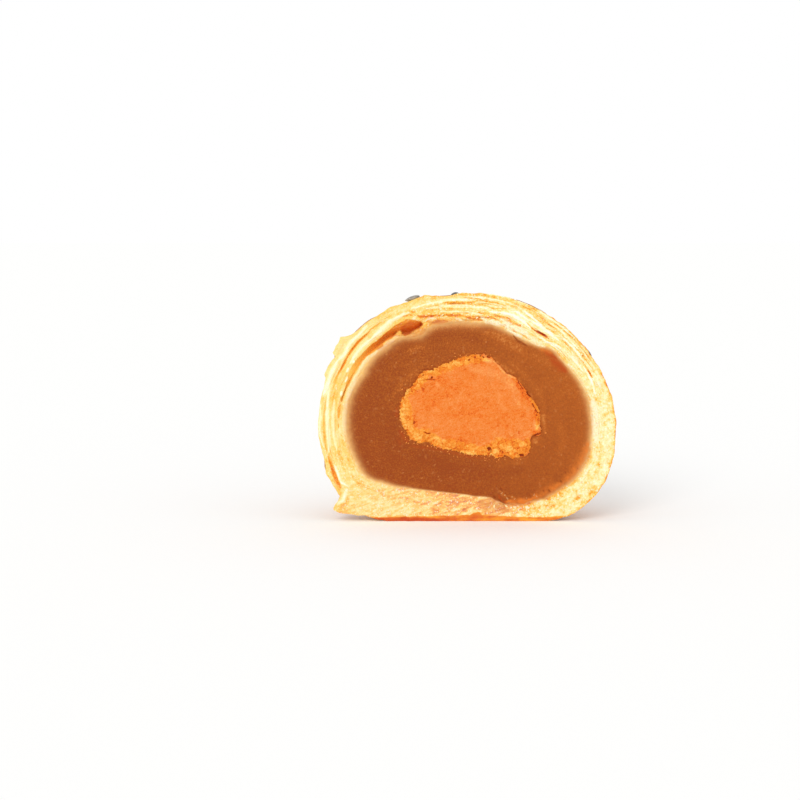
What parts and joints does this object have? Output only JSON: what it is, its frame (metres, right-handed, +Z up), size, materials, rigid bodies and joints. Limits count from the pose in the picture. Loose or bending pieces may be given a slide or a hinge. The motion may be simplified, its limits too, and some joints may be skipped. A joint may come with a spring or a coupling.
{
  "type": "egg yolk pastry half",
  "caption": "Half of a round flaky pastry, cut to show its layered crust, sweet brown paste and salted yolk, with black sesame seeds on top.",
  "frame": {"origin": "on the surface that it stands on, below the middle of its bounding box", "axes": "+Z up; the cut face looks to -Y and the rounded back to +Y; +X is to the right for someone who looks at the cut face"},
  "size_m": [0.0552, 0.0264, 0.0425],
  "materials": {
    "crust": "baked flaky pastry, satin egg wash on the outer skin",
    "filling": "smooth bean paste with a soft sheen",
    "yolk": "crumbly salted egg yolk"
  },
  "bodies": {
    "root": {"crust": "crust", "filling": "filling", "yolk": "yolk"}
  },
  "joints": []
}
